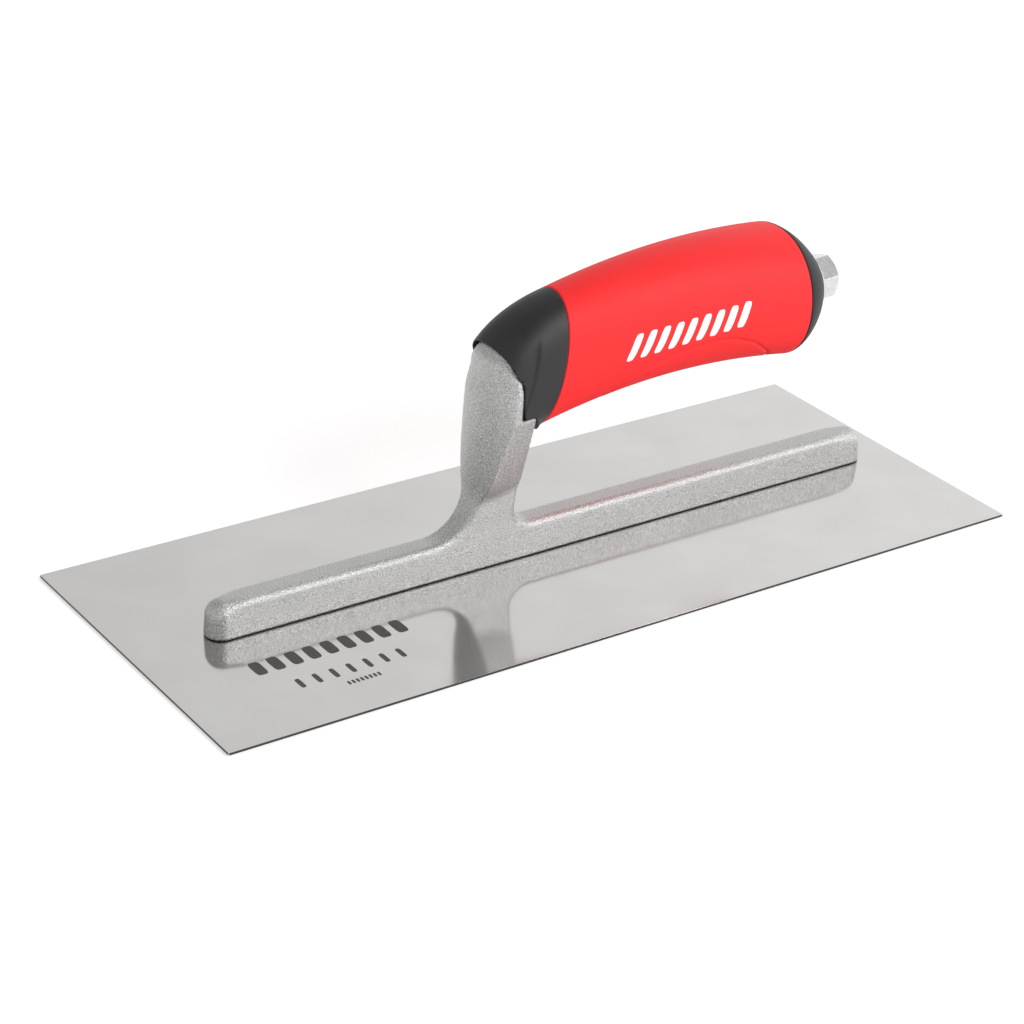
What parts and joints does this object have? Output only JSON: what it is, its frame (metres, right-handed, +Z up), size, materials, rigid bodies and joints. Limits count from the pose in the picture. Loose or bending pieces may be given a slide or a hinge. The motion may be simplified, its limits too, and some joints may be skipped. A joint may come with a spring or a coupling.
{
  "type": "finishing trowel",
  "caption": "Rectangular steel finishing trowel with a cast mounting bar and an arched soft-grip handle clamped by a rod and nut.",
  "frame": {"origin": "centre of the blade's working face, at the bottom of the tool", "axes": "+X along the blade towards the heel, where the handle's nut is; +Z up, out of the blade's back; +Y across the blade"},
  "size_m": [0.2794, 0.1142, 0.0909],
  "materials": {
    "blade_steel": "polished",
    "casting": "shot blasted",
    "rivet_steel": "ground flush",
    "black_plastic": "satin",
    "grip_rubber": "soft matte",
    "zinc_steel": "bright zinc"
  },
  "bodies": {
    "root": {"blade": "blade_steel", "mounting": "casting", "blade_rivets": "rivet_steel", "front_collar": "black_plastic", "handle_core": "black_plastic", "grip_sleeve": "grip_rubber", "rear_cap": "black_plastic", "tang_rod": "zinc_steel", "washer": "zinc_steel", "hex_nut": "zinc_steel"}
  },
  "joints": []
}
